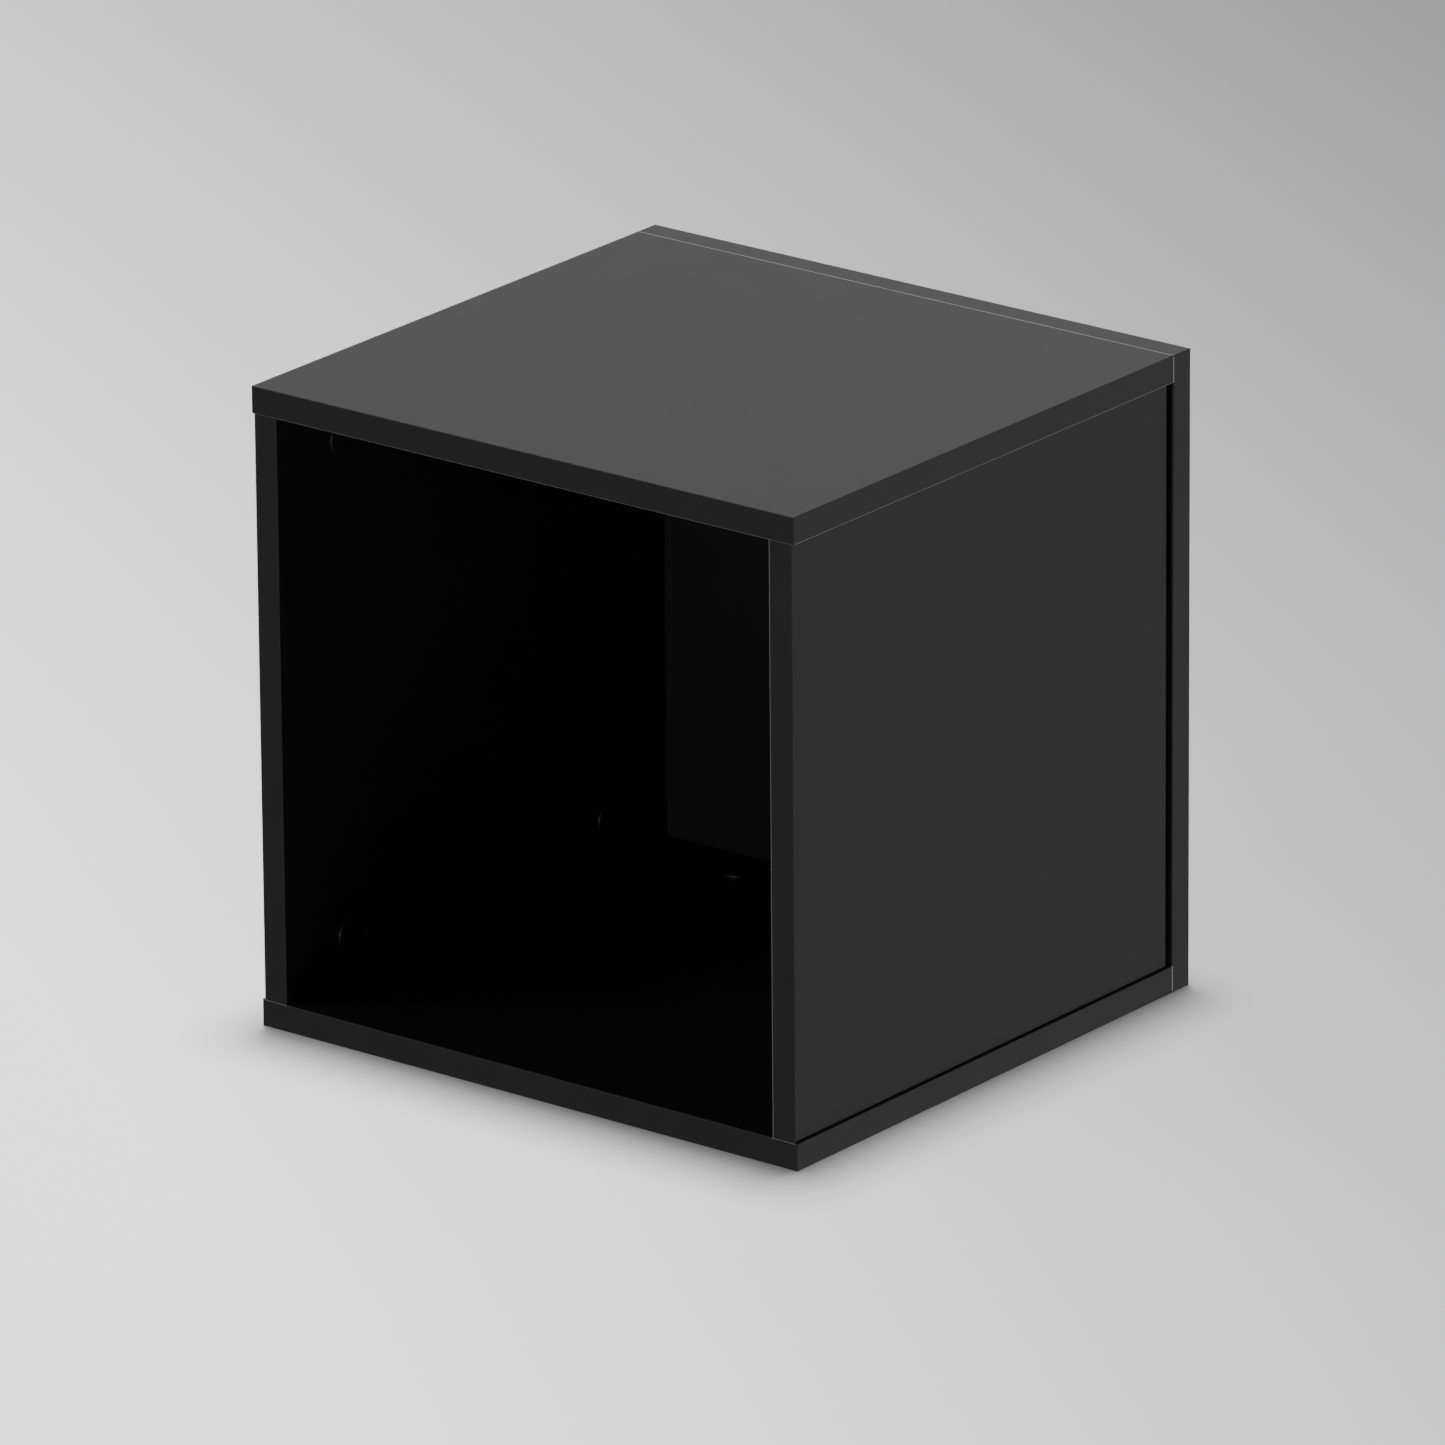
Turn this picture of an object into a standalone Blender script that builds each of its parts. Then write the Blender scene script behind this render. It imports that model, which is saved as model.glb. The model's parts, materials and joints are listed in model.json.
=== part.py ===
"""Open-front storage cube: five black boards with edge bands, held by cam locks, cam bolts and dowels.

The origin is on the floor, under the middle of the cube. The open front faces -Y and +Z is up.
"""

import math

import bmesh
import bpy
from mathutils import Matrix, Vector

MM = 0.001

# Driving dimensions of the cube.
WIDTH = 355 * MM
DEPTH = 340 * MM
HEIGHT = 355 * MM
BOARD = 15 * MM  # thickness of every board
SIDE_INSET = 1.3 * MM  # a side panel's outer face stands in from the ends of the top and bottom panels
FIT_GAP = 0.3 * MM  # between boards that meet
BAND = 0.9 * MM  # edge band
GLUE = 0.1 * MM  # glue line behind a band
EASED = 0.6 * MM  # radius on the outer edges of a band
SIDE_EASED = 1.1 * MM  # radius on the outer upper and lower edges of a side panel
GROOVE_WIDTH = 3.4 * MM  # shadow groove at the rear of a side panel
GROOVE_DEPTH = 5.0 * MM

# Cam lock fittings, measured from the board's face and from its edge.
CAM_RADIUS = 7.3 * MM
CAM_BORE_RADIUS = 7.5 * MM
CAM_BORE_DEPTH = 12.5 * MM
CAM_TOP = -0.4 * MM  # below the face
CAM_BOTTOM = -12.1 * MM
CAM_SETBACK = 24 * MM  # cam centre to the board's edge
CAM_CAVITY_RADIUS = 5.0 * MM
CAM_CAVITY_HEIGHT = 7.6 * MM
CAM_SLOT_HEIGHT = 4.4 * MM
CAM_TURN = 190  # degrees, anticlockwise, from locked to where the bolt's head can leave
SLOT_SPARE_ANGLE = 8  # degrees of slot left past the bolt's neck when the cam is locked
CAM_ENTRY_RADIUS = 3.8 * MM
CROSS_LENGTH = 7.0 * MM  # cross recess for the driver
CROSS_WIDTH = 1.8 * MM
CROSS_DEPTH = 2.2 * MM

# Cam bolt: distances along the bolt from the cam's centre.
BOLT_AXIS_DEPTH = BOARD / 2
HEAD_START = 1.0 * MM
HEAD_END = 3.4 * MM
HEAD_RADIUS = 3.3 * MM
NECK_END = 9.0 * MM
NECK_RADIUS = 1.8 * MM
SHANK_RADIUS = 3.3 * MM
THREAD_RADIUS = 2.3 * MM
THREAD_REACH = 10.5 * MM  # into the neighbouring board
BOLT_BORE_RADIUS = 3.7 * MM
BOLT_BORE_END = 4.0 * MM  # the edge bore runs into the cam bore, this far from the cam's centre
PILOT_RADIUS = 2.6 * MM
PILOT_DEPTH = 11.5 * MM
BOLT_CHAMFER = 0.4 * MM

# Cover cap.
CAP_RADIUS = 8.6 * MM
CAP_THICKNESS = 1.2 * MM
CAP_LIFT = 0.3 * MM
CAP_RIM = 0.4 * MM  # upright part of the cap's edge
CAP_SLOPE = 0.9 * MM  # width of the sloping ring inside that edge
SPIGOT_CLEARANCE = 0.2 * MM
SPIGOT_SPARE = 0.4 * MM  # the spigot ends this far above the bottom of the cam's cross recess

# Dowels.
DOWEL_RADIUS = 4.0 * MM
DOWEL_CHAMFER = 0.8 * MM
DOWEL_IN_EDGE = 17.5 * MM
DOWEL_IN_FACE = 10.5 * MM
DOWEL_CLEARANCE = 0.2 * MM
DOWEL_SPARE = 0.8 * MM  # the bore is this much deeper than the dowel goes

FRONT_FITTING = 52 * MM  # first row of cams, from the front
REAR_FITTING = 52 * MM  # second row of cams, from the boards' rear edges
BACK_FITTING_X = 95 * MM  # cams that hold the back panel, from the middle

CUTTER_OVERRUN = 2 * MM
ROUND_STEPS = 24  # sides of a cam, its bore and its cap
SMALL_STEPS = 12  # sides of a bolt, a dowel and their bores

# Worked out from the dimensions above.
HALF_WIDTH = WIDTH / 2
FRONT = -DEPTH / 2
REAR = DEPTH / 2
BACK_FACE = REAR - BOARD  # front face of the back panel
BOARD_REAR = BACK_FACE - FIT_GAP  # rear edge of the top, bottom and side panels
SIDE_OUTER = HALF_WIDTH - SIDE_INSET
SIDE_INNER = SIDE_OUTER - BOARD
SIDE_LOW = BOARD + FIT_GAP
SIDE_HIGH = HEIGHT - BOARD - FIT_GAP
EDGING = BAND + GLUE

X_AXIS = Vector((1, 0, 0))
Y_AXIS = Vector((0, 1, 0))
Z_AXIS = Vector((0, 0, 1))


def clear_scene():
    """Removes every object that the file starts with."""
    for obj in list(bpy.data.objects):
        bpy.data.objects.remove(obj)


def new_collection(name):
    collection = bpy.data.collections.new(name)
    bpy.context.scene.collection.children.link(collection)
    return collection


def new_material(name, colour, roughness, metallic=0.0):
    material = bpy.data.materials.new(name)
    material.use_nodes = True
    shader = material.node_tree.nodes["Principled BSDF"]
    shader.inputs["Base Color"].default_value = (*colour, 1)
    shader.inputs["Roughness"].default_value = roughness
    shader.inputs["Metallic"].default_value = metallic
    return material


def object_from(name, mesh, collection, material=None):
    obj = bpy.data.objects.new(name, mesh)
    collection.objects.link(obj)
    if material and not mesh.materials:
        mesh.materials.append(material)
    return obj


def box(name, low, high, collection, material=None):
    """A cube primitive at the size of the two corners, placed at their middle."""
    low, high = Vector(low), Vector(high)
    bm = bmesh.new()
    bmesh.ops.create_cube(bm, size=1)
    bmesh.ops.scale(bm, vec=high - low, verts=bm.verts)
    mesh = bpy.data.meshes.new(name)
    bm.to_mesh(mesh)
    bm.free()
    obj = object_from(name, mesh, collection, material)
    obj.location = (low + high) / 2
    return obj


def lies_on(mesh, edge, outward):
    """True if the edge lies on the side of the box that looks along outward."""
    reach = max(v.co.dot(outward) for v in mesh.vertices)
    return all(mesh.vertices[i].co.dot(outward) > reach - 1e-6 for i in edge.vertices)


def ease_edges(obj, radius, outward, shared_with):
    """Rounds the edges that the side looking along outward shares with the other sides named."""
    mesh = obj.data
    weights = mesh.attributes.new("bevel_weight_edge", "FLOAT", "EDGE")
    for edge in mesh.edges:
        shared = any(lies_on(mesh, edge, side) for side in shared_with)
        weights.data[edge.index].value = float(shared and lies_on(mesh, edge, outward))
    bevel = obj.modifiers.new("Eased edges", "BEVEL")
    bevel.limit_method = "WEIGHT"
    bevel.width = radius
    bevel.segments = 2


def rod_mesh(bm, start, end, radius):
    """Adds a cylinder between two points."""
    start, end = Vector(start), Vector(end)
    steps = SMALL_STEPS if radius < CAM_CAVITY_RADIUS else ROUND_STEPS
    turn = (end - start).to_track_quat("Z", "Y").to_matrix().to_4x4()
    bmesh.ops.create_cone(
        bm,
        cap_ends=True,
        segments=steps,
        radius1=radius,
        radius2=radius,
        depth=(end - start).length,
        matrix=Matrix.Translation((start + end) / 2) @ turn,
    )


def cut_rods(board, name, rods):
    """Cuts cylinders, each given as start, end and radius, out of a board with one Boolean."""
    bm = bmesh.new()
    for start, end, radius in rods:
        rod_mesh(bm, start, end, radius)
    mesh = bpy.data.meshes.new(name)
    bm.to_mesh(mesh)
    bm.free()
    cut(board, object_from(name, mesh, CUTTERS))


def cut(board, cutter):
    """Cuts the cutter's shape out of a board or a cam. The cutter itself isn't shown."""
    cutter.hide_render = True
    cutter.display_type = "WIRE"
    boolean = board.modifiers.new(cutter.name, "BOOLEAN")
    boolean.operation = "DIFFERENCE"
    boolean.object = cutter


def finished_mesh(obj, name):
    """The object's mesh with its modifiers applied and its seams welded. The object is removed."""
    bpy.context.view_layer.update()
    graph = bpy.context.evaluated_depsgraph_get()
    mesh = bpy.data.meshes.new_from_object(obj.evaluated_get(graph))
    bm = bmesh.new()
    bm.from_mesh(mesh)
    bmesh.ops.remove_doubles(bm, verts=bm.verts, dist=1e-6)
    bmesh.ops.recalc_face_normals(bm, faces=bm.faces)
    bm.to_mesh(mesh)
    bm.free()
    mesh.name = name
    bpy.data.objects.remove(obj)
    return mesh


def outline_mesh(name, points, thickness):
    """A flat outline in XY with a thickness along Z, centred on Z = 0."""
    curve = bpy.data.curves.new(name, "CURVE")
    curve.dimensions = "2D"
    curve.fill_mode = "BOTH"
    curve.extrude = thickness / 2
    spline = curve.splines.new("POLY")
    spline.points.add(len(points) - 1)
    for point, (x, y) in zip(spline.points, points):
        point.co = (x, y, 0, 1)
    spline.use_cyclic_u = True
    return finished_mesh(object_from(name, curve, CUTTERS), name)


def turned_mesh(name, profile, steps):
    """A profile of (radius, height) pairs, top to bottom, turned round Z."""
    mesh = bpy.data.meshes.new(name)
    points = [(radius, 0, height) for radius, height in profile]
    mesh.from_pydata(points, [(i, i + 1) for i in range(len(points) - 1)], [])
    obj = object_from(name, mesh, CUTTERS)
    screw = obj.modifiers.new("Turned", "SCREW")
    screw.steps = steps
    screw.render_steps = steps
    screw.use_merge_vertices = True
    screw.merge_threshold = 0.00001
    return finished_mesh(obj, name)


def shade_round(mesh, material):
    mesh.materials.append(material)
    mesh.shade_smooth()
    mesh.set_sharp_from_angle(angle=math.radians(35))
    return mesh


# Boards and their edge bands.


def edge_bores(centre, towards, normal):
    """Bores for one cam in the board that carries it: (cam bore, bolt bore from the edge)."""
    axis = centre - normal * BOLT_AXIS_DEPTH
    cam = (centre + normal * CUTTER_OVERRUN, centre - normal * CAM_BORE_DEPTH, CAM_BORE_RADIUS)
    bolt = (
        axis + towards * (CAM_SETBACK + CUTTER_OVERRUN),
        axis + towards * BOLT_BORE_END,
        BOLT_BORE_RADIUS,
    )
    return cam, bolt


def pilot_bore(centre, towards, normal):
    """Bore for the bolt's thread in the neighbouring board."""
    joint = centre - normal * BOLT_AXIS_DEPTH + towards * (CAM_SETBACK + FIT_GAP)
    return joint - towards * CUTTER_OVERRUN, joint + towards * PILOT_DEPTH, PILOT_RADIUS


def dowel_bores(joint, towards):
    """Bores for one dowel: (in the board's edge, in the neighbouring board's face)."""
    radius = DOWEL_RADIUS + DOWEL_CLEARANCE
    face = joint + towards * FIT_GAP
    return (
        (joint + towards * CUTTER_OVERRUN, joint - towards * (DOWEL_IN_EDGE + DOWEL_SPARE), radius),
        (face - towards * CUTTER_OVERRUN, face + towards * (DOWEL_IN_FACE + DOWEL_SPARE), radius),
    )


def fitting_places():
    """Every cam fitting: name, cam centre on the face, way to the neighbour, outward normal, boards."""
    places = []
    rows = (("front", FRONT + FRONT_FITTING), ("rear", BOARD_REAR - REAR_FITTING))
    for side, sign in (("left", -1), ("right", 1)):
        for end, height, way in (
            ("top", SIDE_HIGH - CAM_SETBACK, Z_AXIS),
            ("bottom", SIDE_LOW + CAM_SETBACK, -Z_AXIS),
        ):
            for row, y in rows:
                centre = Vector((sign * SIDE_INNER, y, height))
                boards = (f"{side}_side_panel", f"{end}_panel")
                places.append((f"{side}_{end}_{row}", centre, way, -sign * X_AXIS, boards))
    for end, height, normal in (("top", HEIGHT - BOARD, -Z_AXIS), ("bottom", BOARD, Z_AXIS)):
        for side, sign in (("left", -1), ("right", 1)):
            centre = Vector((sign * BACK_FITTING_X, BOARD_REAR - CAM_SETBACK, height))
            places.append((f"back_{end}_{side}", centre, Y_AXIS, normal, (f"{end}_panel", "back_panel")))
    return places


def dowel_places():
    """Every dowel: name, joint point on the board's edge, way to the neighbour, boards."""
    places = []
    middle = (FRONT + BOARD_REAR) / 2
    middle_of_side = SIDE_OUTER - BOARD / 2
    for side, sign in (("left", -1), ("right", 1)):
        for end, height, way in (("top", SIDE_HIGH, Z_AXIS), ("bottom", SIDE_LOW, -Z_AXIS)):
            joint = Vector((sign * middle_of_side, middle, height))
            places.append((f"dowel_{side}_{end}", joint, way, (f"{side}_side_panel", f"{end}_panel")))
    for end, height in (("top", HEIGHT - BOARD / 2), ("bottom", BOARD / 2)):
        joint = Vector((0, BOARD_REAR, height))
        places.append((f"dowel_back_{end}", joint, Y_AXIS, (f"{end}_panel", "back_panel")))
    return places


def make_boards():
    """The five boards as plain boxes, by name."""
    boards = {}
    cover_low = (-HALF_WIDTH + EDGING, FRONT + EDGING)
    cover_high = (HALF_WIDTH - EDGING, BOARD_REAR)
    for name, bottom in (("top_panel", HEIGHT - BOARD), ("bottom_panel", 0.0)):
        boards[name] = box(name, (*cover_low, bottom), (*cover_high, bottom + BOARD), PARTS, BLACK_BOARD)
        ease_edges(boards[name], EASED, Z_AXIS if bottom else -Z_AXIS, [Y_AXIS])
    for side, sign in (("left", -1), ("right", 1)):
        name = f"{side}_side_panel"
        near, far = sorted((sign * SIDE_INNER, sign * SIDE_OUTER))
        low = (near, FRONT + EDGING, SIDE_LOW)
        boards[name] = box(name, low, (far, BOARD_REAR, SIDE_HIGH), PARTS, BLACK_BOARD)
        ease_edges(boards[name], SIDE_EASED, sign * X_AXIS, [Z_AXIS, -Z_AXIS])
        cut_groove(boards[name], side, sign)
    low = (-HALF_WIDTH + EDGING, BACK_FACE, EDGING)
    high = (HALF_WIDTH - EDGING, REAR, HEIGHT - EDGING)
    boards["back_panel"] = box("back_panel", low, high, PARTS, BLACK_BOARD)
    return boards


def cut_groove(board, side, sign):
    """The shadow groove along the rear outer corner of a side panel."""
    inner, outer = sorted((sign * (SIDE_OUTER - GROOVE_DEPTH), sign * (SIDE_OUTER + CUTTER_OVERRUN)))
    low = (inner, BOARD_REAR + FIT_GAP - GROOVE_WIDTH, SIDE_LOW - CUTTER_OVERRUN)
    high = (outer, BOARD_REAR + CUTTER_OVERRUN, SIDE_HIGH + CUTTER_OVERRUN)
    cut(board, box(f"groove_{side}", low, high, CUTTERS))


def bore_boards(boards):
    """Cuts every fitting's bores. Bores that run into a cam bore are cut after it."""
    first = {name: [] for name in boards}
    second = {name: [] for name in boards}
    for _, centre, way, normal, (carrier, neighbour) in fitting_places():
        cam, bolt = edge_bores(centre, way, normal)
        first[carrier].append(cam)
        second[carrier].append(bolt)
        first[neighbour].append(pilot_bore(centre, way, normal))
    for _, joint, way, (carrier, neighbour) in dowel_places():
        in_edge, in_face = dowel_bores(joint, way)
        first[carrier].append(in_edge)
        first[neighbour].append(in_face)
    for name, board in boards.items():
        cut_rods(board, f"{name}_bores", first[name])
        if second[name]:
            cut_rods(board, f"{name}_edge_bores", second[name])


def make_band(name, low, high, outward, shared_with):
    ease_edges(box(name, low, high, PARTS, EDGE_BAND), EASED, outward, shared_with)


def make_bands():
    """Edge bands on every board edge that shows. A band's end is eased where no other band meets it."""
    across = [X_AXIS, -X_AXIS]
    upright = [Z_AXIS, -Z_AXIS]
    along = [Y_AXIS, -Y_AXIS]
    for board, low_z in (("top", HEIGHT - BOARD), ("bottom", 0.0)):
        high_z = low_z + BOARD
        low, high = (-HALF_WIDTH, FRONT, low_z), (HALF_WIDTH, FRONT + BAND, high_z)
        make_band(f"{board}_front_band", low, high, -Y_AXIS, across + upright)
        for side, sign in (("left", -1), ("right", 1)):
            near, far = sorted((sign * (HALF_WIDTH - BAND), sign * HALF_WIDTH))
            low, high = (near, FRONT + EDGING, low_z), (far, BOARD_REAR, high_z)
            make_band(f"{board}_{side}_band", low, high, sign * X_AXIS, [*upright, Y_AXIS])
    for side, sign in (("left", -1), ("right", 1)):
        near, far = sorted((sign * SIDE_INNER, sign * SIDE_OUTER))
        low, high = (near, FRONT, SIDE_LOW), (far, FRONT + BAND, SIDE_HIGH)
        make_band(f"{side}_side_front_band", low, high, -Y_AXIS, across + upright)
        near, far = sorted((sign * (HALF_WIDTH - BAND), sign * HALF_WIDTH))
        low, high = (near, BACK_FACE, EDGING), (far, REAR, HEIGHT - EDGING)
        make_band(f"back_{side}_band", low, high, sign * X_AXIS, along)
    low, high = (-HALF_WIDTH, BACK_FACE, 0), (HALF_WIDTH, REAR, BAND)
    make_band("back_bottom_band", low, high, -Z_AXIS, across + along)
    low, high = (-HALF_WIDTH, BACK_FACE, HEIGHT - BAND), (HALF_WIDTH, REAR, HEIGHT)
    make_band("back_top_band", low, high, Z_AXIS, across + along)


# Cam lock, cam bolt, cover cap and dowel, each modelled once on its own axis.


def cross_outline(length, width):
    """Twelve corners of a cross, anticlockwise."""
    arm, half = length / 2, width / 2
    points = []
    for quarter in range(4):
        turn = Matrix.Rotation(quarter * math.pi / 2, 2)
        for corner in ((half, half), (arm, -half), (arm, half)):
            points.append(turn @ Vector(corner))
    # each quarter lists its inner corner last, so that the outline runs round in order
    return [points[(3 * q + i) % 12] for q in range(4) for i in (1, 2, 0)]


def slot_outline():
    """A sector of a disc wider than the cam, for the slot that the bolt's neck runs in."""
    steps = SMALL_STEPS
    reach = CAM_RADIUS + CUTTER_OVERRUN
    start = math.radians(SLOT_SPARE_ANGLE) + math.asin(NECK_RADIUS / CAM_CAVITY_RADIUS)
    end = -math.radians(CAM_TURN)
    arc = [start + (end - start) * i / steps for i in range(steps + 1)]
    return [(0.0, 0.0)] + [(reach * math.cos(a), reach * math.sin(a)) for a in arc]


def cam_mesh():
    """The cam, its axis on Z and its bolt along +X, as it stands when it is locked."""
    bm = bmesh.new()
    rod_mesh(bm, (0, 0, CAM_BOTTOM), (0, 0, CAM_TOP), CAM_RADIUS)
    mesh = bpy.data.meshes.new("cam")
    bm.to_mesh(mesh)
    bm.free()
    cam = object_from("cam", mesh, CUTTERS)

    middle = -BOLT_AXIS_DEPTH
    half = CAM_CAVITY_HEIGHT / 2
    cut_rods(cam, "cam_cavity", [((0, 0, middle - half), (0, 0, middle + half), CAM_CAVITY_RADIUS)])
    slot = object_from("cam_slot", outline_mesh("cam_slot", slot_outline(), CAM_SLOT_HEIGHT), CUTTERS)
    slot.location.z = middle
    cut(cam, slot)
    opened = -math.radians(CAM_TURN)
    way = Vector((math.cos(opened), math.sin(opened), 0))
    inside, outside = way * HEAD_END, way * (CAM_RADIUS + CUTTER_OVERRUN)
    drop = Vector((0, 0, middle))
    cut_rods(cam, "cam_entry", [(inside + drop, outside + drop, CAM_ENTRY_RADIUS)])
    outline = cross_outline(CROSS_LENGTH, CROSS_WIDTH)
    cross = object_from("cam_cross", outline_mesh("cam_cross", outline, 2 * CROSS_DEPTH), CUTTERS)
    cross.location.z = CAM_TOP
    cut(cam, cross)
    return shade_round(finished_mesh(cam, "cam_lock"), CAM_METAL)


def bolt_mesh():
    """The cam bolt along Z, its head low and its thread at the top."""
    joint = CAM_SETBACK + FIT_GAP
    tip = joint + THREAD_REACH
    profile = (
        (0, tip),
        (THREAD_RADIUS - 2 * BOLT_CHAMFER, tip),
        (THREAD_RADIUS, tip - 3 * BOLT_CHAMFER),
        (THREAD_RADIUS, CAM_SETBACK),
        (SHANK_RADIUS, CAM_SETBACK),
        (SHANK_RADIUS, NECK_END + BOLT_CHAMFER),
        (NECK_RADIUS, NECK_END),
        (NECK_RADIUS, HEAD_END),
        (HEAD_RADIUS, HEAD_END),
        (HEAD_RADIUS, HEAD_START + BOLT_CHAMFER),
        (HEAD_RADIUS - BOLT_CHAMFER, HEAD_START),
        (0, HEAD_START),
    )
    return shade_round(turned_mesh("cam_bolt", profile, SMALL_STEPS), BOLT_METAL)


def cap_mesh():
    """The cover cap: a thin domed disc with a cross spigot under it."""
    top = CAP_LIFT + CAP_THICKNESS
    profile = (
        (0, top),
        (CAP_RADIUS - CAP_SLOPE, top),
        (CAP_RADIUS, CAP_LIFT + CAP_RIM),
        (CAP_RADIUS, CAP_LIFT),
        (0, CAP_LIFT),
    )
    cap = object_from("cap", turned_mesh("cap_disc", profile, ROUND_STEPS), CUTTERS)
    outline = cross_outline(CROSS_LENGTH - 2 * SPIGOT_CLEARANCE, CROSS_WIDTH - 2 * SPIGOT_CLEARANCE)
    low, high = CAM_TOP - CROSS_DEPTH + SPIGOT_SPARE, CAP_LIFT + CAP_THICKNESS / 2
    spigot = object_from("cap_spigot", outline_mesh("cap_spigot", outline, high - low), CUTTERS)
    spigot.location.z = (low + high) / 2
    spigot.hide_render = True
    spigot.display_type = "WIRE"
    join = cap.modifiers.new("Spigot", "BOOLEAN")
    join.operation = "UNION"
    join.object = spigot
    return shade_round(finished_mesh(cap, "cover_cap"), CAP_PLASTIC)


def dowel_mesh():
    """The dowel along Z, its joint plane at Z = 0 and the neighbouring board above."""
    top = FIT_GAP + DOWEL_IN_FACE
    profile = (
        (0, top),
        (DOWEL_RADIUS - DOWEL_CHAMFER, top),
        (DOWEL_RADIUS, top - DOWEL_CHAMFER),
        (DOWEL_RADIUS, -DOWEL_IN_EDGE + DOWEL_CHAMFER),
        (DOWEL_RADIUS - DOWEL_CHAMFER, -DOWEL_IN_EDGE),
        (0, -DOWEL_IN_EDGE),
    )
    return shade_round(turned_mesh("dowel", profile, SMALL_STEPS), BEECH)


def make_fittings():
    """A cam, its bolt and its cap at each place, under an empty on the cam's axis."""
    cam, bolt, cap = cam_mesh(), bolt_mesh(), cap_mesh()
    bolt_turn = Matrix.Rotation(math.pi / 2, 4, "Y")
    for name, centre, way, normal, _ in fitting_places():
        axes = Matrix((way, normal.cross(way), normal)).transposed()
        pivot = bpy.data.objects.new(f"fitting_{name}", None)
        pivot.empty_display_size = CAM_BORE_RADIUS
        PARTS.objects.link(pivot)
        pivot.matrix_world = Matrix.Translation(centre) @ axes.to_4x4()
        for kind, mesh in (("cam_lock", cam), ("cover_cap", cap), ("cam_bolt", bolt)):
            piece = object_from(f"{kind}_{name}", mesh, PARTS)
            piece.parent = pivot
            if mesh is bolt:
                piece.matrix_local = Matrix.Translation((0, 0, -BOLT_AXIS_DEPTH)) @ bolt_turn


def make_dowels():
    mesh = dowel_mesh()
    for name, joint, way, _ in dowel_places():
        dowel = object_from(name, mesh, PARTS)
        dowel.matrix_world = Matrix.Translation(joint) @ way.to_track_quat("Z", "Y").to_matrix().to_4x4()


clear_scene()
PARTS = new_collection("open_front_storage_cube")
CUTTERS = new_collection("cutters")
BLACK_BOARD = new_material("black_board", (0.012, 0.012, 0.013), 0.45)
EDGE_BAND = new_material("edge_band", (0.013, 0.013, 0.014), 0.4)
CAM_METAL = new_material("cam_metal", (0.55, 0.55, 0.56), 0.45, 1.0)
BOLT_METAL = new_material("bolt_metal", (0.72, 0.70, 0.64), 0.3, 1.0)
CAP_PLASTIC = new_material("cover_cap", (0.014, 0.014, 0.014), 0.5)
BEECH = new_material("beech", (0.62, 0.43, 0.25), 0.6)

bore_boards(make_boards())
make_bands()
make_fittings()
make_dowels()
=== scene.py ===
"""Looks of an open-front storage cube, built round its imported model.

The five boards, their edge bands and the cover caps are modelled afresh with eased edges. The cams,
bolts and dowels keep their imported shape. Everything is in metres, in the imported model's own frame.
"""

import json
import logging
import math
from dataclasses import dataclass, field, replace
from enum import Enum

import bmesh
import bpy
from mathutils import Matrix, Quaternion, Vector


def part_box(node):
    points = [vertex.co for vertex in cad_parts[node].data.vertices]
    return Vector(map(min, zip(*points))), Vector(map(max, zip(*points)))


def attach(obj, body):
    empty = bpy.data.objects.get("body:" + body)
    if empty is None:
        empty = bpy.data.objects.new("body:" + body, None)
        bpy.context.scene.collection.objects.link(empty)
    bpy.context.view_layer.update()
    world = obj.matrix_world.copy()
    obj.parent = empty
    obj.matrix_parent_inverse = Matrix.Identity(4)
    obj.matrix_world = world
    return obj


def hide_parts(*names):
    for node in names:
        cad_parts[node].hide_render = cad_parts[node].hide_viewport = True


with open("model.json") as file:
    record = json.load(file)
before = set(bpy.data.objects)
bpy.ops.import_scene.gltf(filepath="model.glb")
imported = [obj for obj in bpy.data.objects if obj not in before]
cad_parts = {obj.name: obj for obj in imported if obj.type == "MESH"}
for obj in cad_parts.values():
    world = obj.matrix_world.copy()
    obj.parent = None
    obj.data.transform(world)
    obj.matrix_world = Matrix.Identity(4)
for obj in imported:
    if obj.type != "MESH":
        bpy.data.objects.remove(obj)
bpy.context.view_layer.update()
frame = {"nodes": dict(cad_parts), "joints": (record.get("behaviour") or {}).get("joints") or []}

LOG = logging.getLogger("storage_cube")
MM = 0.001
TOUCH = 1e-6

Colour = tuple[float, float, float]


class Way(Enum):
    """The six ways that a side of a board can look."""

    LEFT = (-1, 0, 0)
    RIGHT = (1, 0, 0)
    FRONT = (0, -1, 0)
    REAR = (0, 1, 0)
    DOWN = (0, 0, -1)
    UP = (0, 0, 1)

    @property
    def vector(self) -> Vector:
        """The way as a unit vector."""
        return Vector(self.value)

    @property
    def opposite(self) -> "Way":
        """The way that looks back."""
        return Way(tuple(-part for part in self.value))


class Carpentry(Enum):
    """What a second shape does to the first."""

    CUT = "DIFFERENCE"
    WELD = "UNION"


# Tools for modelling


def pick(obj: bpy.types.Object) -> None:
    """Selects one object and makes it active.

    Args:
        obj: The object to work on.
    """
    bpy.ops.object.select_all(action="DESELECT")
    obj.select_set(True)
    bpy.context.view_layer.objects.active = obj


def settle(obj: bpy.types.Object, name: str) -> bpy.types.Object:
    """Names an object and moves its place into its mesh.

    Args:
        obj: The object as it was added.
        name: The name that it gets.

    Returns:
        The same object, at the origin, unturned and unscaled.
    """
    pick(obj)
    bpy.ops.object.transform_apply(location=True, rotation=True, scale=True)
    obj.name = name
    obj.data.name = name
    return obj


def add_box(name: str, low: Vector, high: Vector) -> bpy.types.Object:
    """Adds a box between two opposite corners.

    Args:
        name: The object's name.
        low: The lowest corner.
        high: The highest corner.

    Returns:
        The box.
    """
    bpy.ops.object.select_all(action="DESELECT")
    middle = (low + high) / 2
    bpy.ops.mesh.primitive_cube_add(size=1, location=middle, scale=high - low)
    return settle(bpy.context.object, name)


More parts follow.
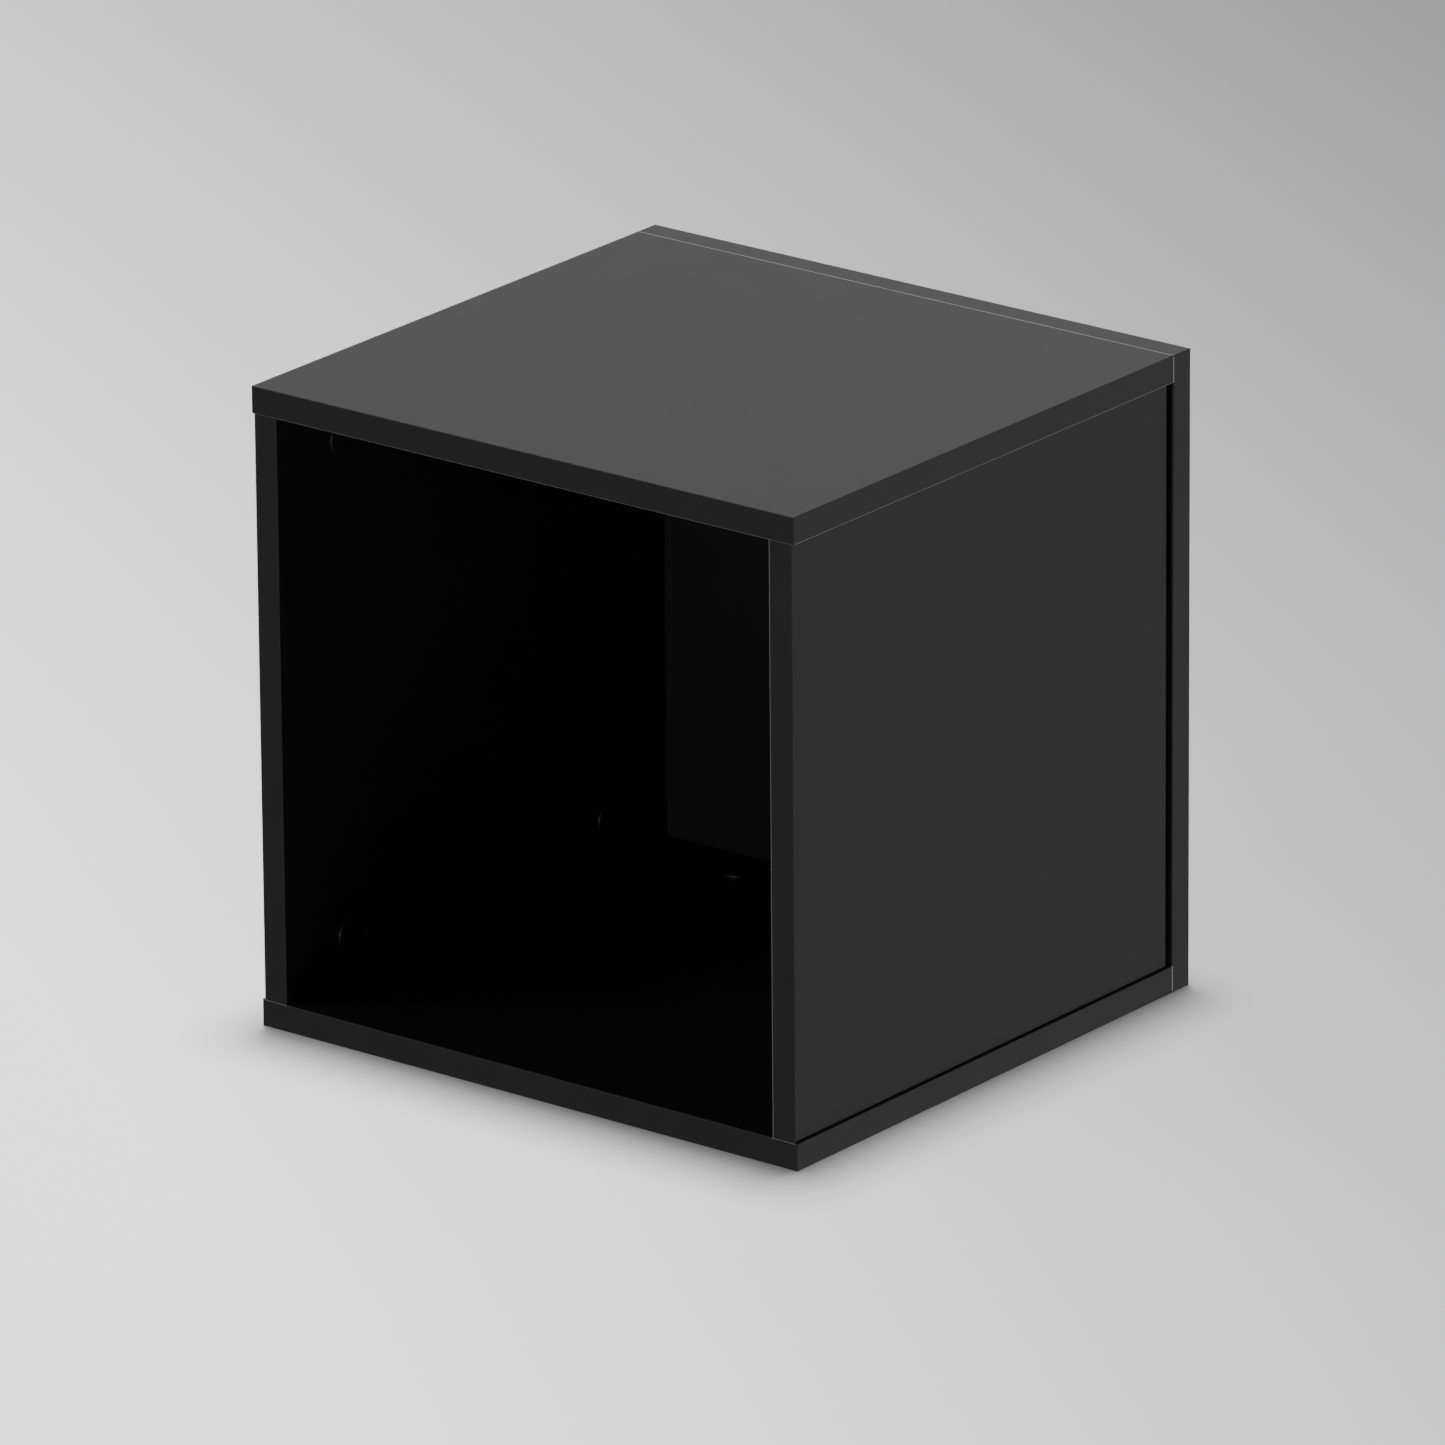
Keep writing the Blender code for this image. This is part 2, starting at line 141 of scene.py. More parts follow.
def grow(low: Vector, high: Vector, way: Way, amount: float) -> None:
    """Moves one side of a box outwards.

    Args:
        low: The box's lowest corner, which is changed.
        high: Its highest corner, which is changed.
        way: The way that the side looks.
        amount: How far it moves.
    """
    for axis, sign in enumerate(way.value):
        low[axis] += amount * min(sign, 0)
        high[axis] += amount * max(sign, 0)


def add_rod(name: str, start: Vector, end: Vector, radius: float, sides: int) -> bpy.types.Object:
    """Adds a cylinder between two points.

    Args:
        name: The object's name.
        start: The middle of one end.
        end: The middle of the other end.
        radius: The cylinder's radius.
        sides: How many sides it has.

    Returns:
        The cylinder.
    """
    bpy.ops.object.select_all(action="DESELECT")
    turn = (end - start).to_track_quat("Z", "Y").to_euler()
    bpy.ops.mesh.primitive_cylinder_add(
        vertices=sides,
        radius=radius,
        depth=(end - start).length,
        location=(start + end) / 2,
        rotation=turn,
    )
    return settle(bpy.context.object, name)


def ease(obj: bpy.types.Object, outward: Way, shared: list[Way], radius: float, steps: int = 4) -> None:
    """Rounds edges of the side of an object that looks one way.

    Args:
        obj: The object.
        outward: The way that the side looks.
        shared: The ways along which the edges bound that side.
        radius: The radius.
        steps: How many strips make the round.
    """
    pick(obj)
    bpy.ops.object.mode_set(mode="EDIT")
    bpy.ops.mesh.select_mode(type="EDGE")
    bpy.ops.mesh.select_all(action="DESELECT")
    mesh = bmesh.from_edit_mesh(obj.data)
    side = outermost(list(mesh.verts), outward)
    rims = [outermost(side, way) for way in shared]
    for edge in mesh.edges:
        edge.select_set(any(all(vertex in rim for vertex in edge.verts) for rim in rims))
    bmesh.update_edit_mesh(obj.data)
    bpy.ops.mesh.bevel(offset=radius, segments=steps, affect="EDGES")
    bpy.ops.object.mode_set(mode="OBJECT")


def outermost(vertices: list[bmesh.types.BMVert], way: Way) -> list[bmesh.types.BMVert]:
    """Finds the vertices that lie furthest out along a way.

    Args:
        vertices: The vertices to choose from.
        way: The way.

    Returns:
        Those that lie on the outermost plane.
    """
    reach = max(vertex.co.dot(way.vector) for vertex in vertices)
    return [vertex for vertex in vertices if vertex.co.dot(way.vector) > reach - TOUCH]


def slice_across(obj: bpy.types.Object, place: Vector) -> None:
    """Puts a ring of edges across the length of an object, where it passes a point.

    Args:
        obj: The object.
        place: The point.
    """
    corners = [Vector(corner) for corner in obj.bound_box]
    axis = longest_axis(corners[0], corners[6])
    normal = Vector([float(i == axis) for i in range(3)])
    pick(obj)
    bpy.ops.object.mode_set(mode="EDIT")
    bpy.ops.mesh.select_all(action="SELECT")
    bpy.ops.mesh.bisect(plane_co=place, plane_no=normal)
    bpy.ops.object.mode_set(mode="OBJECT")


def join(name: str, pieces: list[bpy.types.Object]) -> bpy.types.Object:
    """Joins several objects into one.

    Args:
        name: The name of what they make.
        pieces: The objects.

    Returns:
        The joined object.
    """
    pick(pieces[0])
    for piece in pieces[1:]:
        piece.select_set(True)
    bpy.ops.object.join()
    pieces[0].name = name
    return pieces[0]


def shape_with(obj: bpy.types.Object, tool: bpy.types.Object, job: Carpentry = Carpentry.CUT) -> None:
    """Cuts a tool's shape out of an object, or welds it on, and removes the tool.

    Args:
        obj: The object that is changed.
        tool: The shape.
        job: Whether it's cut out or welded on.
    """
    pick(obj)
    boolean = obj.modifiers.new("Shape", "BOOLEAN")
    boolean.operation = job.value
    boolean.object = tool
    boolean.solver = "EXACT"
    bpy.ops.object.modifier_apply(modifier=boolean.name)
    bpy.data.objects.remove(tool)


def smooth(obj: bpy.types.Object, angle: float = 40) -> None:
    """Shades an object smooth, with its wide faces kept flat.

    Args:
        obj: The object.
        angle: Edges sharper than this, in degrees, stay sharp.
    """
    pick(obj)
    bpy.ops.object.shade_smooth_by_angle(angle=math.radians(angle), keep_sharp_edges=True)
    weighted = obj.modifiers.new("Flat faces", "WEIGHTED_NORMAL")
    weighted.keep_sharp = True
    weighted.weight = 100
    bpy.ops.object.modifier_apply(modifier=weighted.name)


# Finishes

NOISE_LOW, NOISE_HIGH = 0.3, 0.7  # between which nearly all of a noise pattern lies


class NodeBoard:
    """The node tree of one new material, with its Principled shader at hand."""

    def __init__(self, name: str) -> None:
        """Starts a material.

        Args:
            name: The material's name.
        """
        self.material = bpy.data.materials.new(name)
        self.material.use_nodes = True
        self.nodes = self.material.node_tree.nodes
        self.links = self.material.node_tree.links
        self.shader = self.nodes["Principled BSDF"]
        self.place = self.nodes.new("ShaderNodeTexCoord").outputs["Object"]

    def set(self, **values: float | tuple[float, ...]) -> None:
        """Sets sockets of the shader, with an underscore for each space in a socket's name."""
        for name, value in values.items():
            self.shader.inputs[name.replace("_", " ")].default_value = value

    def noise(self, grain: float, detail: float = 2.0, stretch: Vector | None = None) -> bpy.types.NodeSocket:
        """Adds a noise pattern on the piece's own coordinates.

        Args:
            grain: The size of one grain, in metres.
            detail: How many finer layers it has.
            stretch: How much longer the grains are along each axis.

        Returns:
            The pattern's factor.
        """
        noise = self.nodes.new("ShaderNodeTexNoise")
        noise.inputs["Scale"].default_value = 1 / grain
        noise.inputs["Detail"].default_value = detail
        if stretch is None:
            self.links.new(self.place, noise.inputs["Vector"])
        else:
            mapping = self.nodes.new("ShaderNodeMapping")
            mapping.inputs["Scale"].default_value = [1 / share for share in stretch]
            self.links.new(self.place, mapping.inputs["Vector"])
            self.links.new(mapping.outputs["Vector"], noise.inputs["Vector"])
        return noise.outputs["Factor" if "Factor" in noise.outputs else "Fac"]

    def ramp(self, factor: bpy.types.NodeSocket, stops: list[tuple[float, Colour]]) -> bpy.types.NodeSocket:
        """Turns a factor into a colour.

        Args:
            factor: The socket that it reads.
            stops: Places from 0 to 1 and their colours.

        Returns:
            The colour socket.
        """
        node = self.nodes.new("ShaderNodeValToRGB")
        elements = node.color_ramp.elements
        while len(elements) < len(stops):
            elements.new(0.5)
        for element, (place, colour) in zip(elements, stops):
            element.position = place
            element.color = (*colour, 1)
        self.links.new(factor, node.inputs["Fac"])
        return node.outputs["Color"]

    def spread(self, factor: bpy.types.NodeSocket, low: float, high: float) -> bpy.types.NodeSocket:
        """Maps the range of a noise pattern to another range.

        Args:
            factor: The pattern.
            low: The value at its low end.
            high: The value at its high end.

        Returns:
            The value socket.
        """
        node = self.nodes.new("ShaderNodeMapRange")
        node.inputs["From Min"].default_value = NOISE_LOW
        node.inputs["From Max"].default_value = NOISE_HIGH
        node.inputs["To Min"].default_value = low
        node.inputs["To Max"].default_value = high
        self.links.new(factor, node.inputs["Value"])
        return node.outputs["Result"]

    def feed(self, socket: str, source: bpy.types.NodeSocket) -> None:
        """Links a source to one of the shader's sockets."""
        self.links.new(source, self.shader.inputs[socket])

    def bump(self, height: bpy.types.NodeSocket, depth: float, strength: float) -> None:
        """Raises the surface by a pattern.

        Args:
            height: The pattern.
            depth: How far its peaks stand over its hollows, in metres.
            strength: How strongly it shows, from 0 to 1.
        """
        node = self.nodes.new("ShaderNodeBump")
        node.inputs["Distance"].default_value = depth
        node.inputs["Strength"].default_value = strength
        self.links.new(height, node.inputs["Height"])
        self.links.new(node.outputs["Normal"], self.shader.inputs["Normal"])


@dataclass(frozen=True)
class BlackSkin:
    """A black factory surface: melamine foil or an edge band, with a fine matt grain."""

    name: str
    slot: str
    colour: Colour
    roughness: tuple[float, float]
    pore: float
    pore_depth: float
    relief: float = 0.35
    cloud: float = 25 * MM
    clouding: float = 0.05

    def material(self) -> bpy.types.Material:
        """Makes the material: faint clouding in the black, fine pores and a slightly uneven gloss.

        Returns:
            The material.
        """
        board = NodeBoard(self.name)
        board.set(IOR=1.5)
        darker = tuple((1 - self.clouding) * part for part in self.colour)
        lighter = tuple((1 + self.clouding) * part for part in self.colour)
        clouds = board.noise(self.cloud, detail=3)
        board.feed("Base Color", board.ramp(clouds, [(0.35, darker), (0.65, lighter)]))
        pores = board.noise(self.pore, detail=3)
        board.feed("Roughness", board.spread(pores, *self.roughness))
        board.bump(pores, self.pore_depth, self.relief)
        return board.material


@dataclass(frozen=True)
class Chipboard:
    """Bare chipboard, as the cut edges and bores of a board show it."""

    name: str = "chipboard_core"
    pale: Colour = (0.56, 0.42, 0.28)
    dark: Colour = (0.30, 0.19, 0.10)
    roughness: tuple[float, float] = (0.95, 0.8)
    chip: float = 2.2 * MM
    chip_stretch: tuple[float, float, float] = (1.6, 1.6, 1)
    chip_depth: float = 0.2 * MM
    relief: float = 0.6

    def material(self) -> bpy.types.Material:
        """Makes the material: pale and dark chips with a rough, open surface.

        Returns:
            The material.
        """
        board = NodeBoard(self.name)
        board.set(IOR=1.45)
        chips = board.noise(self.chip, detail=4, stretch=Vector(self.chip_stretch))
        board.feed("Base Color", board.ramp(chips, [(0.38, self.dark), (0.62, self.pale)]))
        board.feed("Roughness", board.spread(chips, *self.roughness))
        board.bump(chips, self.chip_depth, self.relief)
        return board.material


@dataclass(frozen=True)
class BareMetal:
    """Zinc die casting or plated steel."""

    name: str
    colour: Colour
    roughness: tuple[float, float]
    grain: float
    grain_depth: float = 0.01 * MM
    relief: float = 0.4
    patch: float = 3 * MM
    dullness: float = 0.25

    def material(self) -> bpy.types.Material:
        """Makes the material: metal with dull patches and a fine cast or drawn grain.

        Returns:
            The material.
        """
        board = NodeBoard(self.name)
        board.set(Metallic=1.0)
        patches = board.noise(self.patch, detail=3)
        dull = tuple((1 - self.dullness) * part for part in self.colour)
        board.feed("Base Color", board.ramp(patches, [(0.35, dull), (0.6, self.colour)]))
        grain = board.noise(self.grain, detail=2)
        board.feed("Roughness", board.spread(grain, *self.roughness))
        board.bump(grain, self.grain_depth, self.relief)
        return board.material


@dataclass(frozen=True)
class Beech:
    """Bare beech, its grain along the dowel."""

    name: str = "beech_wood"
    pale: Colour = (0.66, 0.46, 0.28)
    dark: Colour = (0.47, 0.29, 0.15)
    ray: float = 0.6 * MM
    ray_stretch: tuple[float, float, float] = (1, 1, 12)
    ray_depth: float = 0.03 * MM
    relief: float = 0.4

    def material(self) -> bpy.types.Material:
        """Makes the material: fine long rays in pale wood.

        Returns:
            The material.
        """
        board = NodeBoard(self.name)
        board.set(Roughness=0.65)
        rays = board.noise(self.ray, detail=3, stretch=Vector(self.ray_stretch))
        board.feed("Base Color", board.ramp(rays, [(0.35, self.dark), (0.6, self.pale)]))
        board.bump(rays, self.ray_depth, self.relief)
        return board.material


LAMINATE = BlackSkin(
    name="black_laminate",
    slot="black_board",
    colour=(0.012, 0.012, 0.0122),
    roughness=(0.36, 0.46),
    pore=0.35 * MM,
    pore_depth=0.02 * MM,
)
EDGING = BlackSkin(
    name="black_edging",
    slot="edge_band",
    colour=(0.0125, 0.0125, 0.0127),
    roughness=(0.34, 0.42),
    pore=0.3 * MM,
    pore_depth=0.015 * MM,
)
BACK_EDGING = replace(EDGING, name="back_edging", roughness=(0.355, 0.445))
# Paler copies of the edging, which paint highlights on the rounds at the seams; the brighter one is for
# rounds that look sideways or down, where the lamps give less.
HIGHLIGHT_EDGING = replace(
    EDGING,
    name="painted_highlight_edging",
    colour=(0.2, 0.2, 0.202),
    roughness=(0.5, 0.6),
    pore=0.2 * MM,
)
BRIGHT_HIGHLIGHT_EDGING = replace(HIGHLIGHT_EDGING, name="painted_bright_highlight_edging", colour=(0.5, 0.5, 0.505))
CAP_PLASTIC = BlackSkin(
    name="cap_plastic",
    slot="cover_cap",
    colour=(0.0105, 0.0105, 0.0105),
    roughness=(0.4, 0.5),
    pore=0.5 * MM,
    pore_depth=0.02 * MM,
)
ZINC = BareMetal(
    name="zinc_casting",
    colour=(0.50, 0.50, 0.52),
    roughness=(0.38, 0.55),
    grain=0.25 * MM,
)
PLATED_STEEL = BareMetal(
    name="plated_steel",
    colour=(0.72, 0.70, 0.64),
    roughness=(0.22, 0.34),
    grain=0.15 * MM,
)


@dataclass
class Finishes:
    """Every material of the cube, made once and handed to the pieces."""

    laminate: bpy.types.Material = field(default_factory=LAMINATE.material)
    edging: bpy.types.Material = field(default_factory=EDGING.material)
    back_edging: bpy.types.Material = field(default_factory=BACK_EDGING.material)
    # Painted highlight colours for the seam rounds of the bands.
    trimmed: bpy.types.Material = field(default_factory=HIGHLIGHT_EDGING.material)
    bright_highlight: bpy.types.Material = field(default_factory=BRIGHT_HIGHLIGHT_EDGING.material)
    core: bpy.types.Material = field(default_factory=Chipboard().material)
    cap: bpy.types.Material = field(default_factory=CAP_PLASTIC.material)
    zinc: bpy.types.Material = field(default_factory=ZINC.material)
    steel: bpy.types.Material = field(default_factory=PLATED_STEEL.material)
    beech: bpy.types.Material = field(default_factory=Beech().material)


# The carcass

FIT_GAP = 0.3 * MM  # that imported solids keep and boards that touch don't show
CRISP_RADIUS = 0.35 * MM
TURNED, SQUARE = 0.05, 0.995  # the dot product from which a face looks somewhat, or squarely, along a way


@dataclass
class Bore:
    """A round hole: where it starts, where it ends and its radius."""

    start: Vector
    end: Vector
    radius: float

    def tool(self, sides: int = 32) -> bpy.types.Object:
        """Makes the drill: a cylinder of the hole's size."""
        return add_rod("drill", self.start, self.end, self.radius, sides)


@dataclass
class Board:
    """One laminated board: a flat box with some eased edges, its bores and, on a side, its groove."""

    node: str
    face: Way
    eased: list[tuple[Way, list[Way]]] = field(default_factory=list)
    meets: list[Way] = field(default_factory=list)
    radius: float = 0.0
    groove: tuple[Vector, Vector] | None = None
    bores: list[Bore] = field(default_factory=list)
    edge_bores: list[Bore] = field(default_factory=list)

    def build(self, finishes: Finishes) -> bpy.types.Object:
        """Models the board, drills it and dresses it.

        Args:
            finishes: The materials.

        Returns:
            The finished board, riding on the carcass.
        """
        low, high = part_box(self.node)
        for way in self.meets:
            grow(low, high, way, FIT_GAP)
        board = add_box(f"{self.node}_board", low, high)
        if self.groove:
            shape_with(board, add_box("groove_tool", *self.groove))
        for outward, shared in self.eased:
            ease(board, outward, shared, self.radius)
        for bores in (self.bores, self.edge_bores):
            if bores:
                shape_with(board, join("drills", [bore.tool() for bore in bores]))
        smooth(board)
        self.dress(board, finishes)
        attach(board, "carcass")
        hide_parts(self.node)
        return board

    def dress(self, board: bpy.types.Object, finishes: Finishes) -> None:
        """Puts foil on the wide faces, the eased edges and the groove, and bare core elsewhere.

        Args:
            board: The board.
            finishes: The materials.
        """
        board.data.materials.append(finishes.laminate)
        board.data.materials.append(finishes.core)
        for polygon in board.data.polygons:
            middle = polygon.center
            across = abs(polygon.normal.dot(self.face.vector))
            grooved = self.groove and all(
                low - TOUCH < value < high + TOUCH
                for low, value, high in zip(self.groove[0], middle, self.groove[1])
            )
            polygon.material_index = 0 if across > TURNED or grooved else 1


@dataclass
class EdgeBand:
    """A thin plastic band on a board's edge, eased where it meets the air.

    On the rounds of some of its edges a paler colour paints a highlight, brighter on some bands.
    """

    node: str
    outward: Way
    shared: list[Way]
    # The rounds on the pale ways get a painted highlight colour.
    pale: list[Way] = field(default_factory=list)
    beside: list[str] = field(default_factory=list)
    meets: list[Way] = field(default_factory=list)
    # Whether the painted highlight is the brighter one.
    bright_highlight: bool = False
    radius: float = CRISP_RADIUS
    pale_radius: float = CRISP_RADIUS
    glue: float = 0.09 * MM

    def build(self, finishes: Finishes) -> bpy.types.Object:
        """Models the band, grown back over its glue line and on to the boards that it meets.

        Args:
            finishes: The materials.

        Returns:
            The finished band, riding on the carcass.
        """
        low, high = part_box(self.node)
        grow(low, high, self.outward.opposite, self.glue)
        for way in self.meets:
            grow(low, high, way, FIT_GAP)
        band = add_box(f"{self.node}_strip", low, high)
        radii = {way: self.pale_radius if way in self.pale else self.radius for way in self.shared}
        for radius in sorted(set(radii.values())):
            ease(band, self.outward, [way for way in self.shared if radii[way] == radius], radius)
        for low, high in map(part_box, self.beside):
            slice_across(band, low)
            slice_across(band, high)
        smooth(band)
        self.dress(band, finishes)
        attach(band, "carcass")
        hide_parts(self.node)
        return band

    def dress(self, band: bpy.types.Object, finishes: Finishes) -> None:
        """Paints highlights: the paler colour goes on the rounds of the pale edges, beside the boards that
        they touch.

        Args:
            band: The band.
            finishes: The materials.
        """
        on_back = self.node.startswith("back_")
        band.data.materials.append(finishes.back_edging if on_back else finishes.edging)
        # The second material is the painted highlight.
        band.data.materials.append(finishes.bright_highlight if self.bright_highlight else finishes.trimmed)
        axis = longest_axis(*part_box(self.node))
        for polygon in band.data.polygons:
            rounded = TURNED < polygon.normal.dot(self.outward.vector) < SQUARE
            turned = any(polygon.normal.dot(way.vector) > TURNED for way in self.pale)
            touching = not self.beside or any(
                low[axis] < polygon.center[axis] < high[axis] for low, high in map(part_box, self.beside)
            )
            polygon.material_index = int(rounded and turned and touching)


ACROSS = [Way.LEFT, Way.RIGHT]
UPRIGHT = [Way.DOWN, Way.UP]
ALONG = [Way.FRONT, Way.REAR]


@dataclass
class Carcass:
    """The five boards and their twelve edge bands."""

    side_radius: float = 1.3 * MM
    soft_radius: float = 0.9 * MM
    seam_radius: float = 0.6 * MM
    fine_radius: float = 0.25 * MM
    groove_width: float = 3.4 * MM
    groove_depth: float = 5.0 * MM
    overrun: float = 2.0 * MM
    cam_bore_radius: float = 7.5 * MM
    cam_bore_depth: float = 12.5 * MM
    bolt_bore_radius: float = 3.7 * MM
    pilot_radius: float = 2.6 * MM
    dowel_bore_radius: float = 4.2 * MM
    spare_depth: float = 1.0 * MM

    def boards(self) -> list[Board]:
        """Plans the boards with their eased edges and grooves, before they are drilled.

        Returns:
            The boards.
        """
        made = [
            Board("top_panel", Way.UP, [(Way.UP, [Way.REAR])], meets=[Way.REAR], radius=CRISP_RADIUS),
            Board("bottom_panel", Way.UP, [(Way.DOWN, [Way.REAR])], meets=[Way.REAR], radius=CRISP_RADIUS),
            Board("back_panel", Way.REAR),
        ]
        for side, way in (("left", Way.LEFT), ("right", Way.RIGHT)):
            node = f"{side}_side_panel"
            joined = [*UPRIGHT, Way.REAR]
            made.append(
                Board(
                    node,
                    way,
                    [(way, joined)],
                    meets=joined,
                    radius=self.side_radius,
                    groove=self.groove_of(node, way),
                )
            )
        return made

    def groove_of(self, node: str, way: Way) -> tuple[Vector, Vector]:
        """Works out the shadow groove at the rear of a side panel.

        Args:
            node: The side panel's node.
            way: The way that its outer face looks.

        Returns:
            The lowest and highest corner of what is cut away.
        """
        low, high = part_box(node)
        face = (high if way is Way.RIGHT else low).x
        inner = face - way.vector.x * self.groove_depth
        outer = face + way.vector.x * self.overrun
        start = high.y + FIT_GAP - self.groove_width
        return (
            Vector((min(inner, outer), start, low.z - self.overrun)),
            Vector((max(inner, outer), high.y + self.overrun, high.z + self.overrun)),
        )

    def drill(self, boards: dict[str, Board]) -> None:
        """Gives every board the bores of the cams, bolts and dowels that sit in it.

        Args:
            boards: The boards by node.
        """
        for joint in frame["joints"]:
            name = joint["name"].removeprefix("cam_turn_")
            centre, normal = Vector(joint["pos_m"]), Vector(joint["axis"])
            carrier, neighbour = boards_of(name)
            depth = centre - normal * self.cam_bore_depth
            mouth = centre + normal * self.overrun
            boards[carrier].bores.append(Bore(mouth, depth, self.cam_bore_radius))
            head, tip, way = rod_ends(f"cam_bolt_{name}", centre)
            edge = edge_point(carrier, head, way)
            reach = edge + way * self.overrun
            boards[carrier].edge_bores.append(Bore(reach, head + way * self.overrun, self.bolt_bore_radius))
            boards[neighbour].bores.append(
                Bore(edge - way * self.overrun, tip + way * self.spare_depth, self.pilot_radius)
            )
        for node in (name for name in frame["nodes"] if name.startswith("dowel_")):
            carrier, neighbour = boards_of(node.removeprefix("dowel_"))
            low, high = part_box(carrier)
            tail, tip, way = rod_ends(node, (low + high) / 2)
            edge = edge_point(carrier, tail, way)
            boards[carrier].bores.append(
                Bore(edge + way * self.overrun, tail - way * self.spare_depth, self.dowel_bore_radius)
            )
            boards[neighbour].bores.append(
                Bore(edge - way * self.overrun, tip + way * self.spare_depth, self.dowel_bore_radius)
            )

    def bands(self) -> list[EdgeBand]:
        """Plans the twelve bands.

        Returns:
            The bands.
        """
        uprights = ["left_side_panel", "right_side_panel"]
        levels = ["bottom_panel", "top_panel"]
        around = ACROSS + UPRIGHT
        # Each pale way below gets a painted highlight on its round.
        made = [
            EdgeBand(
                "back_top_band",
                Way.UP,
                ACROSS + ALONG,
                pale=[Way.FRONT],
                radius=self.fine_radius,
                pale_radius=self.fine_radius,
            ),
            EdgeBand("top_front_band", Way.FRONT, around, pale=[Way.DOWN]),
            EdgeBand("bottom_front_band", Way.FRONT, around, pale=[Way.UP], beside=uprights),
            EdgeBand("back_bottom_band", Way.DOWN, ACROSS + ALONG),
        ]
        for side, way in (("left", Way.LEFT), ("right", Way.RIGHT)):
            free = [*UPRIGHT, Way.REAR]
            made += [
                EdgeBand(
                    f"{side}_side_front_band",
                    Way.FRONT,
                    ACROSS,
                    pale=[Way.LEFT],
                    meets=UPRIGHT,
                    pale_radius=self.soft_radius,
                ),
                EdgeBand(
                    f"back_{side}_band",
                    way,
                    ALONG,
                    pale=[Way.FRONT],
                    beside=levels,
                    bright_highlight=True,
                    pale_radius=self.seam_radius,
                ),
                EdgeBand(f"top_{side}_band", way, free, pale=[Way.DOWN], meets=[Way.REAR], bright_highlight=True),
                EdgeBand(f"bottom_{side}_band", way, free, meets=[Way.REAR]),
            ]
        return made

    def build(self, finishes: Finishes) -> list[bpy.types.Object]:
        """Builds all the boards and bands.

        Args:
            finishes: The materials.

        Returns:
            The finished pieces.
        """
        boards = {board.node: board for board in self.boards()}
        self.drill(boards)
        return [piece.build(finishes) for piece in [*boards.values(), *self.bands()]]


def boards_of(place: str) -> tuple[str, str]:
    """Finds the boards that a fitting joins.

    Args:
        place: Its place, such as left_top_front or back_top.

    Returns:
        The node of the board that carries it, and of the board that it is fastened to.
    """
    first, second = place.split("_")[:2]
    if first == "back":
        return f"{second}_panel", "back_panel"
    return f"{first}_side_panel", f"{second}_panel"


def longest_axis(low: Vector, high: Vector) -> int:
    """Finds the axis along which a box is longest."""
    return max(range(3), key=lambda axis: high[axis] - low[axis])


def rod_ends(node: str, inside: Vector) -> tuple[Vector, Vector, Vector]:
    """Finds the ends of a bolt or dowel.

    Args:
        node: Its node.
        inside: A point of the board that carries it.

    Returns:
        The end in that board, the other end, and the unit way from one to the other.
    """
    low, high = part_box(node)
    axis = longest_axis(low, high)
    middle = (low + high) / 2
    ends = [middle.copy(), middle.copy()]
    ends[0][axis], ends[1][axis] = low[axis], high[axis]
    ends.sort(key=lambda end: abs(end[axis] - inside[axis]))
    return ends[0], ends[1], (ends[1] - ends[0]).normalized()


def edge_point(board: str, start: Vector, way: Vector) -> Vector:
    """Follows a way from a point inside a board to the board's edge.

    Args:
        board: The board's node.
        start: The point.
        way: The unit way, along an axis.

    Returns:
        The point on the edge.
    """
    low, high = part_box(board)
    reach = max(low.dot(way), high.dot(way))
    return start + way * (reach - start.dot(way))


# Fittings


@dataclass
class CoverCap:
    """The black cap over a cam: a thin crowned disc with a stepped rim and a cross spigot.

    Each step of the rim is how far it runs inwards and how far it rises, or sinks if that is below 0.
    """

    radius: float = 8.6 * MM
    lift: float = 0.05 * MM
    height: float = 1.5 * MM
    rim_round: float = 0.45 * MM
    spigot_length: float = 6.6 * MM
    spigot_width: float = 1.4 * MM
    spigot_reach: float = 2.2 * MM
    spigot_overlap: float = 0.6 * MM
    sides: int = 64
    steps: tuple[tuple[float, float], ...] = (
        (0.5 * MM, 0.0),
        (0.15 * MM, -0.12 * MM),
        (0.35 * MM, 0.0),
        (0.15 * MM, 0.1 * MM),
        (2.2 * MM, 0.06 * MM),
        (2.4 * MM, 0.03 * MM),
    )

    def model(self) -> bpy.types.Object:
        """Models the cap once, at the origin, its outside along +Z.

        Returns:
            The cap that the others are copied from.
        """
        under, outside = Vector((0, 0, self.lift)), Vector((0, 0, self.height))
        cap = add_rod("cap_model", under, outside, self.radius, self.sides)
        bpy.ops.object.mode_set(mode="EDIT")
        bpy.ops.mesh.select_mode(type="FACE")
        self.pick_outside(cap)
        bpy.ops.mesh.bevel(offset=self.rim_round, segments=4, affect="EDGES")
        self.pick_outside(cap)
        for inset, rise in self.steps:
            bpy.ops.mesh.inset(thickness=inset, depth=0)
            bpy.ops.transform.translate(value=(0, 0, rise))
        bpy.ops.object.mode_set(mode="OBJECT")
        for length, width in (
            (self.spigot_length, self.spigot_width),
            (self.spigot_width, self.spigot_length),
        ):
            low = Vector((-length / 2, -width / 2, -self.spigot_reach))
            high = Vector((length / 2, width / 2, self.spigot_overlap))
            shape_with(cap, add_box("spigot", low, high), Carpentry.WELD)
        smooth(cap)
        return cap

    def pick_outside(self, cap: bpy.types.Object) -> None:
        """Selects the disc's flat outside, and nothing else.

        Args:
            cap: The cap, in edit mode.
        """
        bpy.ops.mesh.select_all(action="DESELECT")
        mesh = bmesh.from_edit_mesh(cap.data)
        for face in mesh.faces:
            face.select_set(face.normal.z > SQUARE and len(face.verts) == self.sides)
        bmesh.update_edit_mesh(cap.data)


